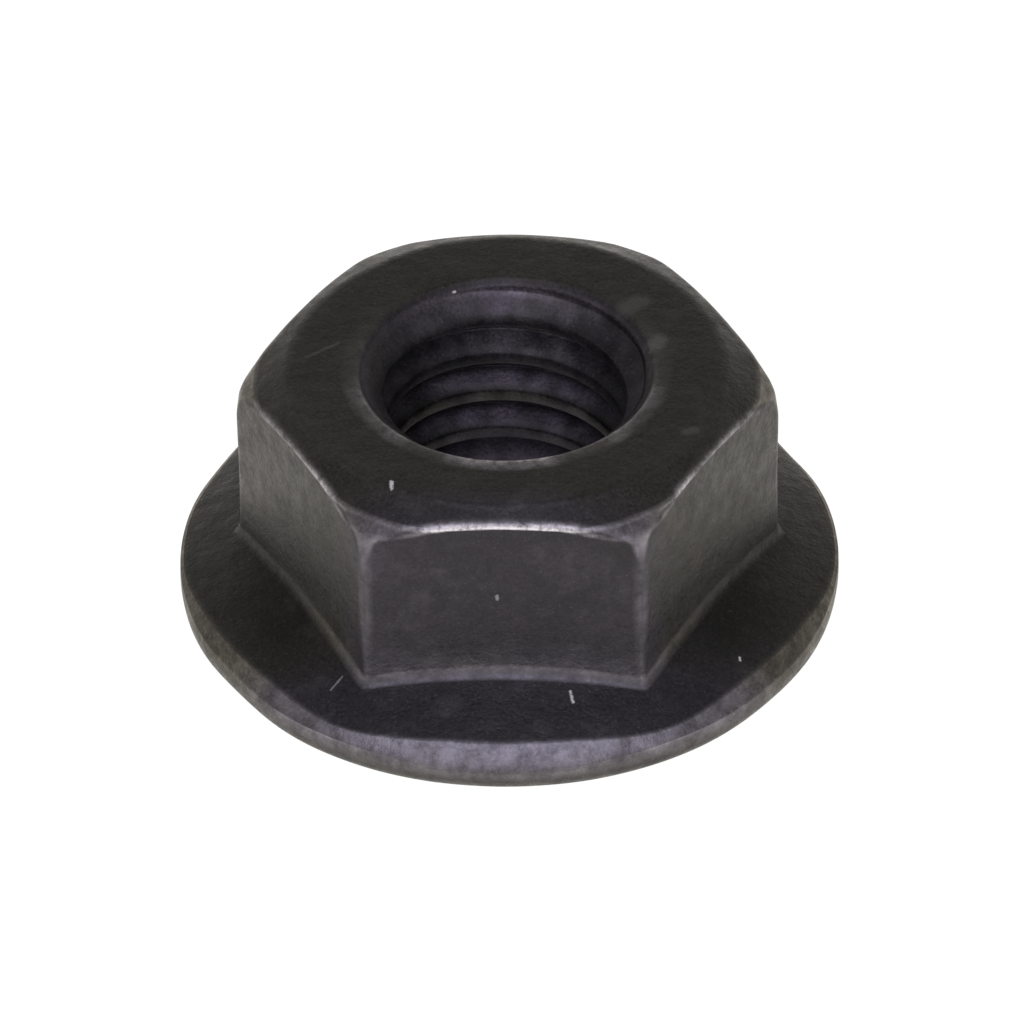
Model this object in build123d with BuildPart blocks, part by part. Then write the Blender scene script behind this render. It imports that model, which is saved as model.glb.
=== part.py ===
from build123d import *
from build123d.topology import SkipClean
import os
from math import ceil, cos, radians, tan

# Hex flange nut, M6 x 1, cold formed and tapped as one piece of steel.
# The origin is the middle of the bearing face, and +Z runs up the thread axis.
# Lengths are in millimetres and angles in degrees.

# hexagon
across_flats = 10.0
nut_height = 5.8
corner_round = 0.22  # down the six corners
shoulder_round = 1.4  # from the corners over into the chamfer
chamfer_inset = 0.4  # of the flat top face, from the middle of each flat
chamfer_angle = 30.0
chamfer_round = 0.5  # where the top face turns into the chamfer
edge_break = 0.15  # along the top edges of the flats

# flange
flange_overhang = 1.3  # of its rim past the corners
flange_slope = 22.0  # fall of its upper face towards the rim
rim_thickness = 0.82  # where that face would meet the rim, with nothing cut back
rim_lower_round = 0.57
root_fillet = 0.3

# the die cuts the rim back all round, and further beside the flats than at the corners
swage_angle = 52.0  # from the vertical
swage_depth = 0.2  # down the side of the rim, beside a flat
swage_relief = 0.17  # how much further out it stands at a corner
swage_mid_relief = 0.055  # and half way between the two
swage_round = 0.3  # where the upper face turns down into it

# thread, tapped right through between two countersinks
thread_diameter = 6.0
thread_pitch = 1.0
thread_angle = 60.0
thread_start = -120.0  # where the groove crosses the bearing face, round the axis from +X
countersink_clearance = 0.15  # of its mouth, round the thread
countersink_angle = 90.0
mouth_round = 0.15  # at the top only, for the bearing face keeps a crisp mouth

# what follows from them
flat_radius = across_flats / 2
corner_radius = flat_radius / cos(radians(30))
top_face_radius = flat_radius - chamfer_inset
chamfer_depth = (corner_radius - top_face_radius) * tan(radians(chamfer_angle))
flange_radius = corner_radius + flange_overhang
flange_fall = tan(radians(flange_slope))
cone_tip_height = rim_thickness + flange_radius * flange_fall
swage_height = rim_thickness - swage_depth
thread_radius = thread_diameter / 2
root_flat = thread_pitch / 8
tapping_radius = (thread_diameter - thread_pitch) / 2
pierced_radius = tapping_radius - root_flat
mouth_radius = thread_radius + countersink_clearance
countersink_depth = (mouth_radius - pierced_radius) / tan(radians(countersink_angle / 2))

# Hexagon: a six-sided bar with rounded corners, which lean in and turn over into the chamfered top.
with BuildPart() as hexagon:
    with BuildSketch():
        RegularPolygon(radius=flat_radius, side_count=6, major_radius=False)
    extrude(amount=nut_height)
    fillet(hexagon.edges().filter_by(Axis.Z), radius=corner_round)
    with BuildSketch(Plane.XZ):
        with BuildLine():
            FilletPolyline(
                (0, 0),
                (corner_radius, 0),
                (corner_radius, nut_height - chamfer_depth),
                (top_face_radius, nut_height),
                (0, nut_height),
                radius=[0, shoulder_round, chamfer_round],
            )
            Line((0, nut_height), (0, 0))
        make_face()
    revolve(axis=Axis.Z, mode=Mode.INTERSECT)
    flats = hexagon.faces().filter_by(GeomType.PLANE).sort_by(Axis.Z)[1:-1]
    tops = flats.edges().filter_by(lambda edge: edge.center().Z > nut_height / 2)
    fillet(tops, radius=edge_break)

# Flange: a coned disc whose rim is cut back to six soft lobes, one under each corner.
with BuildPart() as flange:
    with BuildSketch(Plane.XZ):
        with BuildLine():
            FilletPolyline(
                (0, 0),
                (flange_radius, 0),
                (flange_radius, rim_thickness),
                (0, cone_tip_height),
                radius=[rim_lower_round, 0],
            )
            Line((0, cone_tip_height), (0, 0))
        make_face()
    revolve(axis=Axis.Z)
    for level in (0, cone_tip_height):
        flat_reach = flange_radius + (swage_height - level) * tan(radians(swage_angle))
        outline = [
            Vector(flat_reach + relief, 0).rotate(Axis.Z, turn + lean)
            for turn in range(0, 360, 60)
            for relief, lean in ((swage_relief, 0), (swage_mid_relief, 15), (0, 30), (swage_mid_relief, 45))
        ]
        with BuildSketch(Plane.XY.offset(level)):
            with BuildLine():
                Spline(*outline, periodic=True)
            make_face()
    loft(ruled=True, mode=Mode.INTERSECT)
    fillet(flange.edges(Select.NEW).sort_by(Axis.Z)[-1], radius=swage_round)

# Groove: one turn of the 60 degree thread form, cut out to the thread's full diameter.
with BuildPart() as groove:
    with BuildLine() as helix:
        Helix(pitch=thread_pitch, height=thread_pitch, radius=tapping_radius)
    flank_width = (thread_radius - pierced_radius) * tan(radians(thread_angle / 2))
    with BuildSketch(Plane.XZ):
        with BuildLine():
            Polyline(
                (pierced_radius, -root_flat / 2 - flank_width),
                (thread_radius, -root_flat / 2),
                (thread_radius, root_flat / 2),
                (pierced_radius, root_flat / 2 + flank_width),
                close=True,
            )
        make_face()
    sweep(path=helix.line, is_frenet=True)

# Quarter of the tapping hole, so that each quarter turn of the thread's crest is a face of its own.
with BuildPart() as quarter:
    with BuildSketch():
        with BuildLine():
            CenterArc((0, 0), tapping_radius, 0, 90)
            Polyline((0, tapping_radius), (0, 0), (tapping_radius, 0))
        make_face()
    extrude(amount=nut_height)

# Nut: the hexagon grown out of the flange, pierced, countersunk at both ends, then tapped.
with BuildPart() as nut:
    add(flange.part)
    add(hexagon.part)
    fillet(nut.edges(Select.NEW), radius=root_fillet)
    with BuildSketch():
        Circle(pierced_radius)
    extrude(amount=nut_height, mode=Mode.SUBTRACT)
    for height, depth in ((0, countersink_depth), (nut_height, -countersink_depth)):
        with BuildSketch(Plane.XY.offset(height)):
            Circle(mouth_radius)
        extrude(amount=depth, taper=countersink_angle / 2, mode=Mode.SUBTRACT)
    rims = nut.edges().filter_by(GeomType.CIRCLE).filter_by(lambda edge: abs(edge.radius - mouth_radius) < 0.001)
    fillet(rims.sort_by(Axis.Z)[-1], radius=mouth_round)
    with SkipClean():
        with PolarLocations(0, 4):
            add(quarter.part, mode=Mode.SUBTRACT, clean=False)
        for turn in range(ceil(nut_height / thread_pitch)):
            with Locations(Location((0, 0, turn * thread_pitch), (0, 0, thread_start))):
                add(groove.part, mode=Mode.SUBTRACT, clean=False)

nut.part.label = "hex_flange_nut"
os.makedirs("parts", exist_ok=True)
export_step(nut.part, "parts/hex_flange_nut.step")
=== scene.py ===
from math import atan2, cos, exp, pi, radians, sin, tan

import bmesh
import bpy
from mathutils import Matrix, Vector, noise


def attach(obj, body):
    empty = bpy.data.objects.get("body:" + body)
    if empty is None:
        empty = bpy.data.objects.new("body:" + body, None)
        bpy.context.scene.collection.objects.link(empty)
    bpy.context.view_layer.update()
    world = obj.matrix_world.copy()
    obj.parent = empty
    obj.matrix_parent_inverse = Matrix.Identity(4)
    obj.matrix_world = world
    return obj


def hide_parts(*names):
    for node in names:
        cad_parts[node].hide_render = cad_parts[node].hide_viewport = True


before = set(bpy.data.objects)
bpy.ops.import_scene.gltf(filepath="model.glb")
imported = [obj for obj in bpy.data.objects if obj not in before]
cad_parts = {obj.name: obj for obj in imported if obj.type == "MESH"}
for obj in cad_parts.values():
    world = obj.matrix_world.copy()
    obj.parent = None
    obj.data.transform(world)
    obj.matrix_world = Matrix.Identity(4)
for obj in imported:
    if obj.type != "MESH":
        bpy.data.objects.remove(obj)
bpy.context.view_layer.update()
mm = 0.001
print("frame loaded")

# one piece of steel; millimetres and degrees
nut = {
    "acrossFlats": 10.0,
    "height": 5.8,
    "chamferInset": 0.42,
    "chamferAngle": 27.0,
    "chamferRound": 0.5,
    "cornerCut": 0.06,  # the narrow land down each corner, half way up
    "cornerCutBelow": 0.02,  # where it meets the flange
    "cornerCutGrows": (1.4, 3.0),  # between these heights
    "landRound": 0.05,
    "facetRadius": 5.33,  # where the chamfer turns down into the corner facets
    "facetAngle": 47.0,  # from the vertical
    "facetFoot": 5.12,
    "facetRound": 0.12,
    "facetFootRound": 0.4,
    "wallLean": 8.0,
    "wallRound": 3.0,
    "wallSettles": (1.6, 3.2),  # between these heights its rows stop following the slope of the flange
    "edgeBreak": 0.2,  # on the top edges of the flats
    "edgeBreakLeast": 0.2,  # the part of it that all of these edges have
    "edgeBreakGains": [(4.6, 5.0, 0.5), (5.2, 5.35, 0.3)],  # from height, to height, how much more of it
    "turnedWithin": 4.0,  # inside this radius the nut stays as turned
    "flangeOverhang": 1.3,
    "flangeSlope": 22.0,
    "flangeHeight": 1.658,  # of its upper face, at the middle of a flat
    "rimRound": 0.5,
    "rootFillet": 0.3,
    "swageAngle": 52.0,
    "swageHeight": 0.62,
    "swageFoot": 0.3,  # below it the rim stays as turned
    "swageDraft": 0.07,  # how far the rim is drawn in under the cut, as a part of the relief
    "swageRelief": 0.116,  # less at the corners than beside the flats
    "swageTilt": 0.164,  # and deepest at the front
    "swageReliefMost": 0.21,
    "swageBlend": 0.08,
    "lobePower": 1.8,  # a higher power makes narrower lobes
    "swageLowerRound": 0.24,
    "swageUpperRound": 0.35,
    # where the rim is a little flat: direction, depth and half width
    "rimFlats": [(30, 0.11, 8), (155, 0.05, 8), (216, 0.08, 9), (270, 0.07, 22), (322, 0.04, 8)],
    "rimFlatFade": (6.65, 7.0),
    "mouthRound": 0.17,
    "lowerMouthRound": 0.08,
    "unevenness": 0.01,
    "unevennessScale": 0.9,  # hollows for each millimetre
    "evenBelow": 0.02,  # the bearing face stays flat
}
# how finely the outside is divided: heights, radii, longest step
divisions = [
    ((5.2, 6.0), (4.7, 8.0), 0.055),  # the top edges of the flats
    ((4.3, 5.2), (0.0, 8.0), 0.08),  # the corner facets
    ((5.7, 6.0), (0.0, 3.5), 0.07),  # the mouths
    ((-0.1, 0.1), (0.0, 3.4), 0.07),
    ((0.6, 1.1), (0.0, 8.0), 0.12),  # the cut of the rim
    ((0.5, 6.0), (0.0, 8.0), 0.4),
    ((-0.1, 0.6), (0.0, 8.0), 1.2),
]
columns = 432
cornerCrowding = 0.6  # how far the columns crowd towards the corners
mergeWithin = 0.002
thread = {
    "diameter": 6.0,
    "pitch": 1.0,
    "start": -120.0,  # where the groove crosses the bearing face, round the axis
    "flankAngle": 30.0,
    "rootFlat": 0.125,
    "crestRound": 0.1,
    "rootRound": 0.05,
    "runOutRound": 0.2,
    "runOutDepth": 0.35,  # where that round is full
    "mouthClearance": 0.15,
    "spareTurns": 2,  # beyond each mouth
}

flatRadius = nut["acrossFlats"] / 2
cornerRadius = flatRadius / cos(radians(30))
flangeRadius = cornerRadius + nut["flangeOverhang"]
flangeFall = tan(radians(nut["flangeSlope"]))
coneTip = nut["flangeHeight"] + flatRadius * flangeFall
swageSlant = tan(radians(nut["swageAngle"]))
swageGain = 1 / (1 - swageSlant * flangeFall)  # how far its upper edge moves out for each bit of relief
bandRadius = (flangeRadius + (nut["swageHeight"] - coneTip) * swageSlant) * swageGain
bandHeight = coneTip - bandRadius * flangeFall
wallFoot = coneTip - cornerRadius * flangeFall
mouthRadius = thread["diameter"] / 2 + thread["mouthClearance"]
topJoin, lowerJoin = 0.09, 0.06  # how deep in the mouths the bore takes over from the outside


def tangentLength(rounding, turn):
    return rounding * tan(radians(turn) / 2)


def drawWire(bm, points):
    verts = [bm.verts.new((x, 0, z)) for x, z in points]
    for pair in zip(verts, verts[1:]):
        bm.edges.new(pair)
    return verts


def roundOff(bm, verts, tangent, segments):
    bmesh.ops.bevel(
        bm, geom=verts, offset=tangent, offset_type="OFFSET", segments=segments, profile=0.5,
        affect="VERTICES", material=-1, clamp_overlap=False,
    )


def divide(bm, step):
    for edge in list(bm.edges):
        middle = (edge.verts[0].co + edge.verts[1].co) / 2
        cuts = int(edge.calc_length() / step(middle.x, middle.z))
        if cuts:
            bmesh.ops.subdivide_edges(bm, edges=[edge], cuts=cuts)


def turnRound(bm, rise):
    # a sixth of the turn, then five copies of it
    bmesh.ops.spin(
        bm, geom=bm.verts[:] + bm.edges[:], cent=(0, 0, 0), axis=(0, 0, 1),
        dvec=(0, 0, rise / columns), angle=pi / 3, steps=columns // 6, use_merge=False,
    )
    bmesh.ops.spin(
        bm, geom=bm.verts[:] + bm.edges[:] + bm.faces[:], cent=(0, 0, 0), axis=(0, 0, 1),
        dvec=(0, 0, rise / 6), angle=5 * pi / 3, steps=5, use_duplicate=True,
    )


def softMin(a, b, reach):
    if reach <= 0:
        return min(a, b)
    blend = max(reach - abs(a - b), 0) / reach
    return min(a, b) - blend * blend * reach / 4


def share(value, start, full):
    return min(max((value - start) / (full - start), 0), 1)


def hump(value, start, full, fade, end):
    return share(value, start, full) * share(value, end, fade)


def between(a, b, part):
    return a + part * (b - a)


def fromCorner(angle):
    return abs((angle + pi / 6) % (pi / 3) - pi / 6)


def hexRadius(angle):
    return flatRadius / cos(pi / 6 - fromCorner(angle))


def swageRelief(angle):
    lobe = ((1 + cos(6 * angle)) / 2) ** nut["lobePower"]
    relief = nut["swageRelief"] * lobe + nut["swageTilt"] * (1 + sin(angle))
    return softMin(relief, nut["swageReliefMost"], nut["swageBlend"])


def rimFlat(angle):
    depths = 0
    for direction, depth, halfWidth in nut["rimFlats"]:
        away = (angle - radians(direction) + pi) % (2 * pi) - pi
        depths += depth * exp(-((away / radians(halfWidth)) ** 2))
    return depths


def shape(radius, angle, height):
    # the turned section becomes a hexagon on a flange with six soft lobes
    cut = between(nut["cornerCutBelow"], nut["cornerCut"], share(height, *nut["cornerCutGrows"]))
    inward = cornerRadius - softMin(hexRadius(angle), cornerRadius - cut, nut["landRound"])
    relief = swageRelief(angle)
    outward = relief * swageGain
    if height < nut["swageFoot"] or radius < nut["turnedWithin"]:
        return radius, height
    if height > leanFoot:
        part = nut["edgeBreakLeast"]
        for start, full, gain in nut["edgeBreakGains"]:
            part += gain * share(height, start, full)
        return softMin(radius, cornerRadius - inward, nut["edgeBreak"] * part), height
    if radius <= footRadius:
        follow = 1 - share(height, *nut["wallSettles"])
        return radius - inward, height + inward * flangeFall * follow
    if radius <= bandRadius:
        along = share(radius, footRadius, bandRadius)
        move = between(-inward, outward, along)
        return radius + move, height - move * flangeFall
    if height > nut["swageHeight"]:
        up = share(height, nut["swageHeight"], bandHeight)
        return radius + outward * up, height - outward * flangeFall * up + relief / swageSlant * (1 - up)
    up = share(height, nut["swageFoot"], nut["swageHeight"])
    return radius - nut["swageDraft"] * relief * up, height + relief / swageSlant * up


# where handling has rubbed the film thin, and a painted sheen on the top face and partly at the root in front;
# how thin, from 0 to 1; a bracket says where a place starts and is full, by height or radius in mm, or by sine or
# cosine of the direction
rubbedAndSheen = {
    "front": (0.5, 0.9),
    "rimLeast": 0.12,
    "rimHeight": (0.3, 0.8),
    "rimAround": 0.8,
    "rimInFront": 0.25,  # on top of that
    "rimFoot": (0.02, 0.3),
    "rimEdge": 0.012,  # half the fade along its upper edge
    "root": 0.5,
    "rootHeight": (0.32, 0.18),  # over the foot of the wall
    "rootFade": 0.06,
    "wall": 0.24,
    "wallHeight": (1.0, 0.3),
    "wallDepth": 0.05,
    "rootBehind": 0.03,  # what is left of both at the back
    "topHeight": 5.6,
    "mouth": 0.22,
    "mouthRing": (3.06, 3.2, 3.25, 3.5),
    "mouthAround": (0.8, 0.2),
    # a painted sheen in a ring round the top face, at the sides
    "topFace": 0.07,
    "topFaceRing": (4.4, 4.55, 4.6, 4.75),
    "topFaceSides": (0.5, 0.8),
    "facet": 0.3,
    "facetTop": 0.4,  # on top of that
    "facetHeight": (4.5, 5.0),
    "facetRadius": (5.22, 5.28),
    "facetWidth": (0.26, 0.16),  # in radians off the corner
    "land": 0.16,
    "landHeight": (1.8, 4.0),
    "edgeSpread": (-0.02, 0.03),
}


def rubbingAndSheen(radius, angle, height):
    front = share(-sin(angle), *rubbedAndSheen["front"])
    rimEdge = rubbedAndSheen["rimEdge"]
    if radius > footRadius and height < bandHeight + rimEdge:
        up = share(height, *rubbedAndSheen["rimHeight"]) * (rubbedAndSheen["rimAround"] + rubbedAndSheen["rimInFront"] * front)
        edges = share(height, *rubbedAndSheen["rimFoot"]) * share(height, bandHeight + rimEdge, bandHeight - rimEdge)
        return between(rubbedAndSheen["rimLeast"], 1, up) * edges
    # the root and the wall in front: rubbed, and partly a painted highlight
    if radius > flatRadius and height < wallFoot + rubbedAndSheen["wallHeight"][0]:
        over = height - wallFoot
        root = share(over, *rubbedAndSheen["rootHeight"]) * share(radius, footRadius, footRadius - rubbedAndSheen["rootFade"])
        wall = share(over, *rubbedAndSheen["wallHeight"]) * (radius < cornerRadius + rubbedAndSheen["wallDepth"])
        return max(rubbedAndSheen["root"] * root, rubbedAndSheen["wall"] * wall) * between(rubbedAndSheen["rootBehind"], 1, front)
    if height > rubbedAndSheen["topHeight"] and radius < rubbedAndSheen["topFaceRing"][-1]:
        mouth = hump(radius, *rubbedAndSheen["mouthRing"]) * share(sin(angle), *rubbedAndSheen["mouthAround"])
        # a painted sheen in a ring round the top face, at the sides
        sides = hump(radius, *rubbedAndSheen["topFaceRing"]) * share(abs(cos(angle)), *rubbedAndSheen["topFaceSides"])
        return rubbedAndSheen["mouth"] * mouth + rubbedAndSheen["topFace"] * sides
    if height > leanFoot:
        facet = share(hexRadius(angle) - radius, *rubbedAndSheen["edgeSpread"]) * share(radius, *rubbedAndSheen["facetRadius"])
        strength = rubbedAndSheen["facet"] + rubbedAndSheen["facetTop"] * share(height, *rubbedAndSheen["facetHeight"])
        return strength * facet * share(fromCorner(angle), *rubbedAndSheen["facetWidth"])
    land = share(hexRadius(angle) - cornerRadius + nut["cornerCut"], *rubbedAndSheen["edgeSpread"])
    return rubbedAndSheen["land"] * land * share(height, *rubbedAndSheen["landHeight"])


def crowd(angle):
    return -cornerCrowding * sin(6 * angle) / 6


# section of the outside, from mouth to mouth
topFaceRadius = flatRadius - nut["chamferInset"]
facetTop = nut["height"] - (nut["facetRadius"] - topFaceRadius) * tan(radians(nut["chamferAngle"]))
facetFootRadius = nut["facetRadius"] + (facetTop - nut["facetFoot"]) * tan(radians(nut["facetAngle"]))
wallTop = nut["facetFoot"] - (cornerRadius - facetFootRadius) / tan(radians(nut["wallLean"]))
wallCut = tangentLength(nut["wallRound"], nut["wallLean"])
leanFoot = wallTop - wallCut
rootCut = tangentLength(nut["rootFillet"], 90 - nut["flangeSlope"])
footRadius = cornerRadius + rootCut * cos(radians(nut["flangeSlope"]))

bm = bmesh.new()
corners = drawWire(bm, [
    (mouthRadius - lowerJoin, lowerJoin),
    (mouthRadius, 0),
    (flangeRadius, 0),
    (flangeRadius, nut["swageHeight"]),
    (bandRadius, bandHeight),
    (cornerRadius, wallFoot),
    (cornerRadius, wallTop),
    (facetFootRadius, nut["facetFoot"]),
    (nut["facetRadius"], facetTop),
    (topFaceRadius, nut["height"]),
    (mouthRadius, nut["height"]),
    (mouthRadius - topJoin, nut["height"] - topJoin),
])
for place, tangent, segments in (
    (1, tangentLength(nut["lowerMouthRound"], 45), 3),
    (3, tangentLength(nut["swageLowerRound"], nut["swageAngle"]), 5),
    (2, tangentLength(nut["rimRound"], 90), 11),
    (4, tangentLength(nut["swageUpperRound"], 90 - nut["swageAngle"] - nut["flangeSlope"]), 4),
    (5, rootCut, 8),
    (6, wallCut, 6),
    (7, tangentLength(nut["facetFootRound"], nut["facetAngle"] - nut["wallLean"]), 8),
    (8, tangentLength(nut["facetRound"], 90 - nut["chamferAngle"] - nut["facetAngle"]), 3),
    (9, tangentLength(nut["chamferRound"], nut["chamferAngle"]), 6),
    (10, tangentLength(nut["mouthRound"], 45), 5),
):
    roundOff(bm, [corners[place]], tangent, segments)


def outsideStep(radius, height):
    for (low, high), (inner, outer), step in divisions:
        if low < height < high and inner < radius < outer:
            return step


divide(bm, outsideStep)
turnRound(bm, 0)
rubbedAndSheenLayer = bm.verts.layers.float.new("rubbedAndSheen")
for vert in bm.verts:
    angle = atan2(vert.co.y, vert.co.x)
    angle += crowd(angle)
    vert[rubbedAndSheenLayer] = rubbingAndSheen(vert.co.xy.length, angle, vert.co.z)
    radius, height = shape(vert.co.xy.length, angle, vert.co.z)
    radius -= rimFlat(angle) * share(radius, *nut["rimFlatFade"])
    vert.co = (radius * cos(angle), radius * sin(angle), height)
print("outside turned:", len(bm.verts), "points")

# bore, one helical strip of thread for each pitch
threadRadius = thread["diameter"] / 2
crestRadius = threadRadius - thread["pitch"] / 2
halfRoot = thread["rootFlat"] / 2
halfGroove = halfRoot + (threadRadius - crestRadius) * tan(radians(thread["flankAngle"]))
turns = range(-thread["spareTurns"], int(nut["height"] / thread["pitch"]) + thread["spareTurns"] + 1)
groove = [
    (crestRadius, -halfGroove), (threadRadius, -halfRoot), (threadRadius, halfRoot), (crestRadius, halfGroove),
]
bore = bmesh.new()
drawWire(bore, [(radius, turn * thread["pitch"] + side) for turn in turns for radius, side in groove])


def threadEnds(radius, height):
    # the groove runs out in the countersinks, and what lies beyond a mouth is drawn in to its edge
    if height > nut["height"] - topJoin:
        return mouthRadius - topJoin, nut["height"] - topJoin
    if height < lowerJoin:
        return mouthRadius - lowerJoin, lowerJoin
    depth = min(height, nut["height"] - height)
    reach = thread["runOutRound"] * share(depth, topJoin, thread["runOutDepth"])
    return -softMin(-radius, depth - mouthRadius, reach), height


middleRadius = (crestRadius + threadRadius) / 2
crests = [vert for vert in bore.verts if vert.co.x < middleRadius]
roots = [vert for vert in bore.verts if vert.co.x > middleRadius]
turnOfFlank = 90 - thread["flankAngle"]
roundOff(bore, crests[1:-1], tangentLength(thread["crestRound"], turnOfFlank), 2)
roundOff(bore, roots, tangentLength(thread["rootRound"], turnOfFlank), 2)
flanks = [edge for edge in bore.edges if abs(edge.verts[0].co.x - edge.verts[1].co.x) > thread["crestRound"]]
bmesh.ops.subdivide_edges(bore, edges=flanks, cuts=2)
turnRound(bore, thread["pitch"])
for vert in bore.verts:
    angle = atan2(vert.co.y, vert.co.x)
    turn = crowd(angle)
    height = vert.co.z + thread["pitch"] * (turn - radians(thread["start"])) / (2 * pi)
    radius, height = threadEnds(vert.co.xy.length, height)
    vert.co = (radius * cos(angle + turn), radius * sin(angle + turn), height)
bmesh.ops.remove_doubles(bore, verts=bore.verts, dist=mergeWithin)
threadMesh = bpy.data.meshes.new("thread")
bore.to_mesh(threadMesh)
bore.free()
bm.from_mesh(threadMesh)
bmesh.ops.remove_doubles(bm, verts=bm.verts, dist=mergeWithin)
bmesh.ops.recalc_face_normals(bm, faces=bm.faces)
openEdges = sum(not edge.is_manifold for edge in bm.edges)
print("nut closed:", len(bm.verts), "points,", len(bm.faces), "faces,", openEdges, "open edges")

# forged faces are never quite even
bm.normal_update()
for vert in bm.verts:
    if vert.co.z > nut["evenBelow"]:
        hollow = (1 + noise.noise(vert.co * nut["unevennessScale"])) / 2
        vert.co -= vert.normal * nut["unevenness"] * hollow

# bright wear along the edges, and painted highlights on the edges in front: how much of it each place has or
# loses, and where the place starts and is full
edgeWearAndHighlights = {
    "bend": (1.5, 5.5),  # per mm, how sharply the edge turns
    "front": (0.6, 0.85),
    "behind": 0.3,
    "inFront": 0.46,  # more of it
    "topEdges": 0.46,  # and more again
    "topEdgeWidth": (0.14, 0.3),
    "topEdgeHeight": (5.2, 5.3),
    "boreEdge": 0.08,
    "rimHeight": (1.15, 1.05),
    "rimInFront": 0.4,  # what the rim keeps there
    "rimFront": (0.2, 0.6),
    "strip": 0.78,  # what the strips down the corners lose
    "stripHeight": (5.1, 4.8),
    "stripRadius": (5.3, 5.5),
    "stripFoot": 0.15,  # and lose more
    "stripFootHeight": (3.2, 2.0),
    "topFace": 0.7,
    "topFaceHeight": (5.5, 5.6),
    "topFaceRadius": (3.6, 3.9),
    "corner": 0.8,
    "cornerWidth": (0.24, 0.12),
    "cornerHeight": (4.4, 4.6),
    "mouth": 0.35,
    "mouthEdge": (0.3, 0.2),  # outside the mouth
    "mouthBehind": 0.6,
    "mouthFromFront": (-1.0, 1.5),
}
# how much lighter or darker the film's colour is made, as a part of it: painted light and shade (the bore darker
# and its back lighter, highlights on the crests, light and shade in the grooves, light on the back of the
# countersinks, shade in the crease at the foot of the wall) with random tone, and a painted violet reflection;
# brackets as above, depths from the nearer mouth
toneAndPaintedLight = {
    "grooved": (0.02, 0.1),
    "groovedRadius": (2.66, 2.6),
    "groovedDepth": (0.2, 0.6),
    "deep": (1.5, 2.7),  # the first turns show less of the painted highlights and shade
    "crestRadius": (2.57, 2.52),
    "crestFirst": 0.9,
    "crestLeast": 0.45,
    "crest": 2.3,
    "crestFacing": (0.5, 0.15),
    "rootRadius": (2.52, 2.83),
    "grooveFirst": 0.9,
    "rootFirst": 1.6,
    "grooveLeast": 0.4,
    "groove": 4.6,
    "grooveDepth": (0.1, 0.9),
    "rootDark": (2.86, 2.98),
    "rootDarkDepth": (0.5, 0.9),
    "bore": 0.6,  # painted shade, darker
    "boreLit": 0.75,  # painted light, lighter at the back
    "threadLit": 0.2,
    "crestKeeps": 0.5,
    "boreBack": (0.5, 0.98),
    "threadBack": (0.7, 1.0),
    "entry": 1.4,
    "entryDepth": (0.1, 0.16, 0.3, 0.42),
    "entryRadius": (2.88, 2.96),
    "mottle": 0.9,
    "mottleDepth": (0.1, 0.4),
    "mottleScale": 2.3,  # clouds for each millimetre
    "lowerRim": 0.35,  # darker
    "lowerRimRadius": (6.5, 6.6),
    "lowerRimHeight": (0.8, 0.4),
    "countersinkLit": 0.9,
    "countersinkDepth": (0.08, 0.3),
    "flange": 0.15,  # darker
    "flangeHeight": (2.0, 1.5),
    "root": 0.7,  # painted shade, darker in the crease at the foot of the wall
    "rootStripRadius": (5.0, 5.1),
    "rootStripHeight": (1.2, 1.3, 1.75, 1.85),
    "violetFront": (3.9, 5.0),
    "violetLeast": 0.25,
    "violetHeight": (0.2, 0.9),
    "crestViolet": 0.9,  # what the deep crests lose of it
}


def insideBore(radius):
    return share(radius, mouthRadius, mouthRadius - edgeWearAndHighlights["boreEdge"])


def inFront(at):
    return share(-at.y / at.xy.length, *edgeWearAndHighlights["front"])


def wearAndHighlightAt(at, bend):
    radius, offCorner = at.xy.length, fromCorner(atan2(at.y, at.x))
    rim = share(at.z, *edgeWearAndHighlights["rimHeight"])
    rim *= 1 - edgeWearAndHighlights["rimInFront"] * share(-at.y / radius, *edgeWearAndHighlights["rimFront"])
    topEdge = share(offCorner, *edgeWearAndHighlights["topEdgeWidth"]) * share(at.z, *edgeWearAndHighlights["topEdgeHeight"])
    strip = share(at.z, *edgeWearAndHighlights["stripHeight"]) * share(radius, *edgeWearAndHighlights["stripRadius"])
    strip *= edgeWearAndHighlights["strip"] + edgeWearAndHighlights["stripFoot"] * share(at.z, *edgeWearAndHighlights["stripFootHeight"])
    topFace = share(at.z, *edgeWearAndHighlights["topFaceHeight"]) * share(radius, *edgeWearAndHighlights["topFaceRadius"])
    corner = share(offCorner, *edgeWearAndHighlights["cornerWidth"]) * share(at.z, *edgeWearAndHighlights["cornerHeight"])
    mouth = share(radius - mouthRadius, *edgeWearAndHighlights["mouthEdge"])
    mouth *= edgeWearAndHighlights["mouth"] + edgeWearAndHighlights["mouthBehind"] * share(at.y, *edgeWearAndHighlights["mouthFromFront"])
    wornAndHighlit = share(bend, *edgeWearAndHighlights["bend"]) * (1 - insideBore(radius)) * (1 - rim) * (1 - strip)
    # painted highlights: the edges in front are made brighter than those behind
    wornAndHighlit *= edgeWearAndHighlights["behind"] + inFront(at) * (edgeWearAndHighlights["inFront"] + edgeWearAndHighlights["topEdges"] * topEdge)
    return wornAndHighlit * (1 - edgeWearAndHighlights["topFace"] * topFace) * (1 - edgeWearAndHighlights["corner"] * corner) * (1 - mouth)


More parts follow.
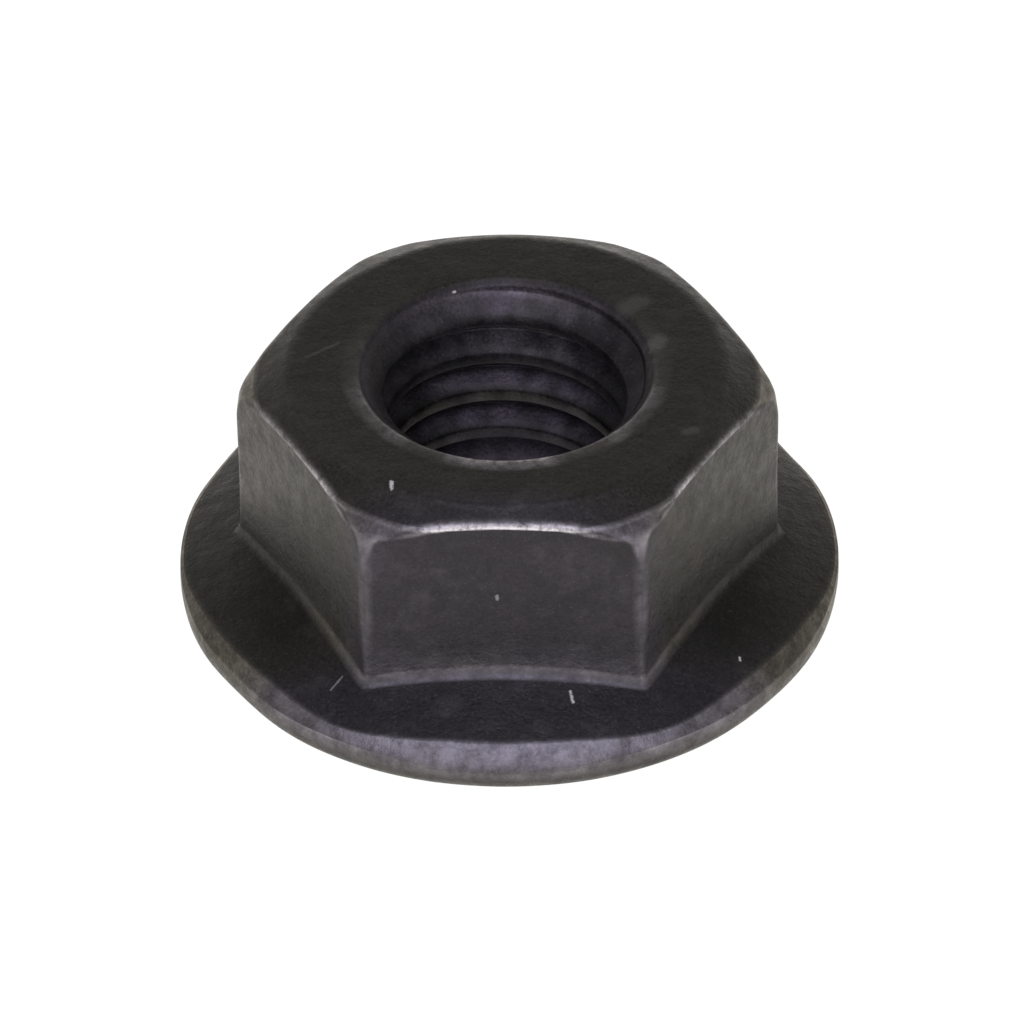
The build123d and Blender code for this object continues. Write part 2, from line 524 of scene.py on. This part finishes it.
def paintedLightAndToneAt(at, facing):
    # painted light and shade with random tone, and how much painted violet reflection
    radius, depth = at.xy.length, min(at.z, nut["height"] - at.z)
    inside = insideBore(radius)
    cutIn = share(radius + depth - mouthRadius, *toneAndPaintedLight["grooved"])
    grooved = inside * max(cutIn, share(radius, *toneAndPaintedLight["groovedRadius"])) * share(depth, *toneAndPaintedLight["groovedDepth"])
    deep = share(depth, *toneAndPaintedLight["deep"])

    # painted highlights on the crests, and painted light and shade in the grooves
    crest = share(radius, *toneAndPaintedLight["crestRadius"])
    crestPaintedHighlight = toneAndPaintedLight["crestLeast"] + toneAndPaintedLight["crest"] * share(facing, *toneAndPaintedLight["crestFacing"])
    crestPaintedHighlight = between(toneAndPaintedLight["crestFirst"], crestPaintedHighlight, deep)
    root = share(radius, *toneAndPaintedLight["rootRadius"])
    lit = root * (1 - share(radius, *toneAndPaintedLight["rootDark"]) * share(depth, *toneAndPaintedLight["rootDarkDepth"]))
    groovePaintedShading = toneAndPaintedLight["grooveLeast"] + toneAndPaintedLight["groove"] * lit * share(depth, *toneAndPaintedLight["grooveDepth"])
    groovePaintedShading = between(toneAndPaintedLight["grooveFirst"] + toneAndPaintedLight["rootFirst"] * root, groovePaintedShading, deep)
    paintedLightAndTone = between(1, between(groovePaintedShading, crestPaintedHighlight, crest), grooved)

    # painted light: the back of the bore painted lighter, where light from above reaches it, and the rest of the
    # bore painted darker
    atBack = share(at.y / radius, *toneAndPaintedLight["boreBack"])
    lit = between(atBack, share(at.y / radius, *toneAndPaintedLight["threadBack"]), grooved)
    shade = toneAndPaintedLight["bore"] - (toneAndPaintedLight["boreLit"] + toneAndPaintedLight["threadLit"] * grooved) * lit
    paintedLightAndTone *= 1 - inside * shade * (1 - toneAndPaintedLight["crestKeeps"] * crest)
    entry = hump(depth, *toneAndPaintedLight["entryDepth"]) * share(radius, *toneAndPaintedLight["entryRadius"])
    paintedLightAndTone *= 1 + toneAndPaintedLight["entry"] * inside * entry
    clouds = noise.noise(at * toneAndPaintedLight["mottleScale"])
    paintedLightAndTone *= 1 + toneAndPaintedLight["mottle"] * inside * share(depth, *toneAndPaintedLight["mottleDepth"]) * clouds
    lowerRim = share(radius, *toneAndPaintedLight["lowerRimRadius"]) * share(at.z, *toneAndPaintedLight["lowerRimHeight"])
    paintedLightAndTone *= 1 - toneAndPaintedLight["lowerRim"] * lowerRim
    # painted light on the back of the countersinks
    paintedLightAndTone += toneAndPaintedLight["countersinkLit"] * inside * (1 - grooved) * atBack * share(depth, *toneAndPaintedLight["countersinkDepth"])
    paintedLightAndTone *= 1 - toneAndPaintedLight["flange"] * share(at.z, *toneAndPaintedLight["flangeHeight"]) * (1 - inside)
    # painted shade in the crease at the foot of the wall, except in front
    rootStrip = share(radius, *toneAndPaintedLight["rootStripRadius"]) * hump(at.z, *toneAndPaintedLight["rootStripHeight"])
    paintedLightAndTone *= 1 - toneAndPaintedLight["root"] * rootStrip * (1 - inFront(at))

    # a painted violet reflection: on the faces in front, and all through the bore but for the deep crests
    paintedFrontViolet = share(-at.y, *toneAndPaintedLight["violetFront"])
    paintedFrontViolet *= between(toneAndPaintedLight["violetLeast"], 1, share(at.z, *toneAndPaintedLight["violetHeight"]))
    return paintedLightAndTone, max(inside * (1 - toneAndPaintedLight["crestViolet"] * grooved * crest * deep), paintedFrontViolet)


# how sharply each point stands out from its neighbours
bm.normal_update()
bends = []
for vert in bm.verts:
    bend = 0
    for edge in vert.link_edges:
        step = edge.other_vert(vert).co - vert.co
        bend = max(bend, (edge.other_vert(vert).normal - vert.normal).dot(step) / step.length_squared)
    bends.append(bend)
wearAndHighlightLayer = bm.verts.layers.float.new("wearAndHighlight")
paintedVioletLayer = bm.verts.layers.float.new("paintedViolet")
paintedLightAndToneLayer = bm.verts.layers.float.new("paintedLightAndTone")
bm.verts.index_update()
for vert in bm.verts:
    around = [bends[edge.other_vert(vert).index] for edge in vert.link_edges]
    vert[wearAndHighlightLayer] = wearAndHighlightAt(vert.co, (bends[vert.index] + sum(around) / len(around)) / 2)
    vert[paintedLightAndToneLayer], vert[paintedVioletLayer] = paintedLightAndToneAt(vert.co, vert.normal.z)
for face in bm.faces:
    face.smooth = True
bmesh.ops.scale(bm, vec=(mm, mm, mm), verts=bm.verts)
mesh = bpy.data.meshes.new("hexNut")
bm.to_mesh(mesh)
bm.free()
bpy.data.meshes.remove(threadMesh)
hexNut = bpy.data.objects.new("hexNut", mesh)
bpy.context.scene.collection.objects.link(hexNut)
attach(hexNut, "root")
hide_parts("hex_flange_nut")
print("nut built")


def colour(code):
    parts = [int(code[place:place + 2], 16) / 255 for place in (1, 3, 5)]
    return [part / 12.92 if part <= 0.04045 else ((part + 0.055) / 1.055) ** 2.4 for part in parts] + [1]


def blankMaterial(name):
    material = bpy.data.materials.new(name)
    material.use_nodes = True
    material.node_tree.nodes.clear()
    return material, material.node_tree


def addNode(tree, kind, inputs={}, **settings):
    node = tree.nodes.new("ShaderNode" + kind)
    for name, value in settings.items():
        setattr(node, name, value)
    for name, value in inputs.items():
        if isinstance(value, bpy.types.NodeSocket):
            tree.links.new(value, node.inputs[name])
        else:
            node.inputs[name].default_value = value
    return node


# black oxide on cold formed steel: a thin matt brown-black film, rubbed back to grey steel along the edges, with
# painted highlights, painted light and shade and a painted violet reflection; sizes in millimetres
finish = {
    "film": "#2f2e2b",
    "filmVioletTintAndReflection": "#302d34",
    "rubbedAndSheen": "#7c7871",
    "rubbedVioletReflection": "#928f99",
    "bareSteelAndHighlight": "#e4e1ea",
    "fleck": "#ecebf0",
    "metal": 0.45,  # how metallic the film looks
    "metalWhenThinned": 0.5,  # it is all metal once this much of the film is gone
    "roughness": 0.46,
    "roughnessSpread": 0.12,
    "bumpHeight": 0.012,
    "bumpStrength": 0.6,
    "dentHeight": 4.0,  # for each height of the grain
    "strokeRagged": 0.4,  # parts of a stroke's half width
    "strokeEdge": (0.5, 1.2),
}
# size in mm, detail and roughness; the range of the noise that counts, and what it becomes
patterns = {
    "grain": ((0.07, 2.0, 0.6), (0.3, 0.7), (0.62, 1.42)),  # crystals of the film, coarser than they are
    "clouds": ((3.5, 3.0, 0.55), (0.35, 0.65), (-0.25, 0.25)),
    "mottle": ((0.91, 6.0, 0.68), (0.3, 0.7), (0.8, 1.2)),
    "patches": ((1.11, 6.0, 0.68), (0.54, 0.7), (0.0, 0.13)),  # thin film
    "specks": ((0.0625, 1.0, 0.5), (0.64, 0.78), (0.0, 0.2)),  # where the steel shines through
    "scuffs": ((0.455, 6.0, 0.75), (0.34, 0.66), (0.4, 1.15)),
    "chips": ((0.294, 5.0, 0.75), (0.36, 0.62), (0.2, 1.15)),  # along the edges
    "dents": ((0.385, 4.0, 0.6), (0.7, 1.3), (-1.0, 1.0)),  # with the grain, in the roughness
}
# nicks and scratches: from, to, half their width in mm, how bright
strokes = [
    ((-2.28, -3.87, 5.8), (-2.27, -4.13, 5.8), 0.05, 1.0),
    ((1.37, -5.36, 1.45), (1.43, -5.58, 1.34), 0.035, 0.75),
    ((4.9, -3.88, 1.17), (4.91, -3.97, 1.13), 0.032, 0.9),
    ((-1.18, 2.78, 5.66), (-1.16, 2.78, 5.66), 0.035, 0.8),
    ((-0.12, -5.0, 3.62), (-0.12, -5.0, 3.7), 0.04, 0.3),
    ((-3.61, -5.03, 1.18), (-3.38, -4.76, 1.32), 0.025, 0.28),
    ((-4.21, 0.31, 5.8), (-3.56, 0.8, 5.8), 0.045, 0.05),
    ((3.12, 0.82, 5.8), (3.2, 0.95, 5.8), 0.22, 0.07),
    ((2.5, 2.05, 5.8), (2.8, 2.3, 5.8), 0.25, 0.05),
    ((3.75, -2.2, 5.8), (3.95, -2.12, 5.8), 0.12, 0.05),
]
blackOxide, tree = blankMaterial("blackOxideSteel")
place = addNode(tree, "TexCoord")
inMillimetres = addNode(tree, "Mapping", {"Vector": place.outputs["Object"], "Scale": (1 / mm,) * 3})
at = inMillimetres.outputs["Vector"]
wearAndHighlight = addNode(tree, "Attribute", attribute_name="wearAndHighlight").outputs["Fac"]
thinAndSheen = addNode(tree, "Attribute", attribute_name="rubbedAndSheen").outputs["Fac"]
paintedViolet = addNode(tree, "Attribute", attribute_name="paintedViolet").outputs["Fac"]
paintedLightAndTone = addNode(tree, "Attribute", attribute_name="paintedLightAndTone").outputs["Fac"]


def remap(value, start, end, low, high):
    return addNode(tree, "MapRange", {0: value, 1: start, 2: end, 3: low, 4: high}).outputs[0]


def maths(operation, a, b):
    return addNode(tree, "Math", {0: a, 1: b}, operation=operation).outputs[0]


def vectorMaths(operation, inputs, output="Vector"):
    return addNode(tree, "VectorMath", inputs, operation=operation).outputs[output]


def mix(factor, a, b, blend="MIX"):
    return addNode(tree, "Mix", {0: factor, 6: a, 7: b}, data_type="RGBA", blend_type=blend).outputs[2]


def texture(name):
    size, detail, roughness = patterns[name][0]
    settings = {"Vector": at, "Scale": 1 / size, "Detail": detail, "Roughness": roughness}
    return addNode(tree, "TexNoise", settings).outputs["Fac"]


def pattern(name):
    return remap(texture(name), *patterns[name][1], *patterns[name][2])


grain = texture("grain")
# the film's colour with random violet tint and grain, a painted violet reflection, and painted light and shade
# with random tone
film = mix(maths("ADD", paintedViolet, pattern("clouds")), colour(finish["film"]), colour(finish["filmVioletTintAndReflection"]))
film = mix(1.0, film, remap(grain, *patterns["grain"][1], *patterns["grain"][2]), "MULTIPLY")
film = mix(1.0, film, maths("MULTIPLY", paintedLightAndTone, pattern("mottle")), "MULTIPLY")

# rubbed places and a painted sheen, with thin patches of film and specks where the steel shines through
thinnedAndSheen = maths("MULTIPLY", thinAndSheen, pattern("scuffs"))
thinnedAndSheen = maths("ADD", maths("ADD", thinnedAndSheen, pattern("patches")), pattern("specks"))
skin = mix(thinnedAndSheen, film, mix(paintedViolet, colour(finish["rubbedAndSheen"]), colour(finish["rubbedVioletReflection"])))
# bare steel on the worn edges, and painted highlights on the edges in front
wornAndHighlit = maths("MULTIPLY", wearAndHighlight, pattern("chips"))
skin = mix(wornAndHighlit, skin, colour(finish["bareSteelAndHighlight"]))
metal = remap(maths("ADD", thinnedAndSheen, wornAndHighlit), 0.0, finish["metalWhenThinned"], finish["metal"], 1.0)

for start, end, reach, brightness in strokes:
    along = Vector(end) - Vector(start)
    fromStart = vectorMaths("SUBTRACT", {0: at, 1: start})
    passed = vectorMaths("DOT_PRODUCT", {0: fromStart, 1: along / along.length_squared}, "Value")
    passed = addNode(tree, "Clamp", {"Value": passed}).outputs[0]
    nearest = vectorMaths("SCALE", {0: along, "Scale": passed})
    away = vectorMaths("DISTANCE", {0: fromStart, 1: nearest}, "Value")
    ragged = finish["strokeRagged"] * reach
    away = maths("ADD", away, remap(grain, *patterns["grain"][1], -ragged, ragged))
    core, edge = finish["strokeEdge"]
    skin = mix(remap(away, reach * core, reach * edge, brightness, 0.0), skin, colour(finish["fleck"]))
dents = texture("dents")
smoothest, roughest = (finish["roughness"] + end * finish["roughnessSpread"] for end in patterns["dents"][2])
rough = remap(maths("ADD", grain, dents), *patterns["dents"][1], smoothest, roughest)
height = maths("ADD", grain, maths("MULTIPLY", dents, finish["dentHeight"]))
bump = addNode(tree, "Bump", {
    "Height": height, "Strength": finish["bumpStrength"], "Distance": finish["bumpHeight"] * mm,
})
shader = addNode(tree, "BsdfPrincipled", {
    "Base Color": skin, "Metallic": metal, "Roughness": rough, "Normal": bump.outputs[0],
})
addNode(tree, "OutputMaterial", {"Surface": shader.outputs[0]})
hexNut.data.materials.append(blackOxide)
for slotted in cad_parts.values():
    slotted.data.materials.clear()
    slotted.data.materials.append(blackOxide)
print("steel finished")

# paper, seen white by the camera and by the metal; metres
studio = {
    "paper": "#f4f4f4",
    "paperSize": 0.6,
    "paperBelow": 0.00002,  # a hair under the bearing face
    "glow": 1.09,  # as the camera sees the paper
    "metalGlow": 1.3,  # and as the metal does
    "glowShare": 0.93,  # the rest of the paper shows shadows
    "underBore": 0.3,  # a painted shadow: the paper's glow is turned down in the bore, where the nut keeps light off it
    "boreEdge": (0.003, 0.0034),
    "sky": 0.25,
    "wallRadius": 0.28,
    "wallHeight": 0.1,
    "wallGlow": 0.85,
    "warm": (1.04, 1.0, 0.94, 1),
    "white": (1, 1, 1, 1),
}
bpy.ops.mesh.primitive_plane_add(size=studio["paperSize"], location=(0, 0, -studio["paperBelow"]))
paper = bpy.context.object
paper.name = "paper"
whitePaper, tree = blankMaterial("whitePaper")
matt = addNode(tree, "BsdfDiffuse", {"Color": colour(studio["paper"])})
path = addNode(tree, "LightPath")
byCamera = path.outputs["Is Camera Ray"]
glow = addNode(tree, "Emission", {
    "Color": mix(byCamera, studio["warm"], studio["white"]),
    "Strength": remap(byCamera, 0.0, 1.0, studio["metalGlow"], studio["glow"]),
})
place = addNode(tree, "TexCoord")
away = vectorMaths("LENGTH", {0: place.outputs["Object"]}, "Value")
# painted shadow: less glow on the paper under the bore
uncovered = remap(away, *studio["boreEdge"], studio["underBore"], 1.0)
byMetal = maths("MULTIPLY", path.outputs["Is Glossy Ray"], uncovered)
seen = maths("MULTIPLY", maths("MAXIMUM", byCamera, byMetal), studio["glowShare"])
both = addNode(tree, "MixShader", {0: seen, 1: matt.outputs[0], 2: glow.outputs[0]})
# clear from below, so that the bearing face can be seen
side = addNode(tree, "NewGeometry")
clear = addNode(tree, "BsdfTransparent")
oneSided = addNode(tree, "MixShader", {0: side.outputs["Backfacing"], 1: both.outputs[0], 2: clear.outputs[0]})
addNode(tree, "OutputMaterial", {"Surface": oneSided.outputs[0]})
paper.data.materials.append(whitePaper)

bpy.ops.mesh.primitive_cylinder_add(
    vertices=96, radius=studio["wallRadius"], depth=studio["wallHeight"], end_fill_type="NOTHING",
    location=(0, 0, studio["wallHeight"] / 2),
)
wall = bpy.context.object
wall.name = "wall"
whiteWall, tree = blankMaterial("whiteWall")
glow = addNode(tree, "Emission", {"Color": studio["warm"], "Strength": studio["wallGlow"]})
addNode(tree, "OutputMaterial", {"Surface": glow.outputs[0]})
wall.data.materials.append(whiteWall)

world = bpy.data.worlds.new("studio")
bpy.context.scene.world = world
world.use_nodes = True
tree = world.node_tree
tree.nodes.clear()
path = addNode(tree, "LightPath")
dome = addNode(tree, "Background", {"Color": studio["warm"], "Strength": studio["sky"]})
backdrop = addNode(tree, "Background", {"Color": studio["white"], "Strength": 1.0})
sky = addNode(tree, "MixShader", {0: path.outputs["Is Camera Ray"], 1: dome.outputs[0], 2: backdrop.outputs[0]})
addNode(tree, "OutputWorld", {"Surface": sky.outputs[0]})

# lights, in millimetres and watts
softLights = {
    "front": {"at": (0, -70, 116), "size": 150, "power": 0.066, "tint": (0.98, 0.94, 1.1)},
}
for name, light in softLights.items():
    lamp = bpy.data.lights.new(name, "AREA")
    lamp.size = light["size"] * mm
    lamp.energy = light["power"]
    lamp.color = light["tint"]
    lampObject = bpy.data.objects.new(name, lamp)
    bpy.context.scene.collection.objects.link(lampObject)
    lampObject.location = Vector(light["at"]) * mm
    lampObject.rotation_euler = (-lampObject.location).to_track_quat("-Z", "Y").to_euler()
print("studio lit")

# camera, fitted to the outline, the bore and the hexagon's edges; millimetres, degrees and pixels
view = {
    "elevation": 38.897,
    "turn": 1.615,
    "roll": 0.851,
    "distance": 127.6,
    "aside": (0.029, -3.004),
    "focal": 6095.66,
    "imageWidth": 1020,
    "sensor": 36,
    "clip": (0.01, 10),  # metres
}
elevation, roll = radians(view["elevation"]), radians(view["roll"])
turned = Matrix.Rotation(radians(view["turn"]), 3, "Z")
right = Vector((1, 0, 0))
up = Vector((0, sin(elevation), cos(elevation)))
towards = Vector((0, -cos(elevation), sin(elevation)))
aside, above = view["aside"]
eye = Vector((0, 0, nut["height"])) + turned @ (right * aside + up * above + towards * view["distance"])
axes = (
    turned @ (right * cos(roll) - up * sin(roll)),
    turned @ (right * sin(roll) + up * cos(roll)),
    turned @ towards,
)
camera = bpy.data.objects.new("camera", bpy.data.cameras.new("camera"))
bpy.context.scene.collection.objects.link(camera)
camera.matrix_world = Matrix.Translation(eye * mm) @ Matrix(axes).transposed().to_4x4()
camera.data.sensor_width = view["sensor"]
camera.data.lens = view["sensor"] * view["focal"] / view["imageWidth"]
camera.data.clip_start, camera.data.clip_end = view["clip"]
bpy.context.scene.camera = camera
bpy.context.scene.view_settings.view_transform = "Standard"

print("ready to render")
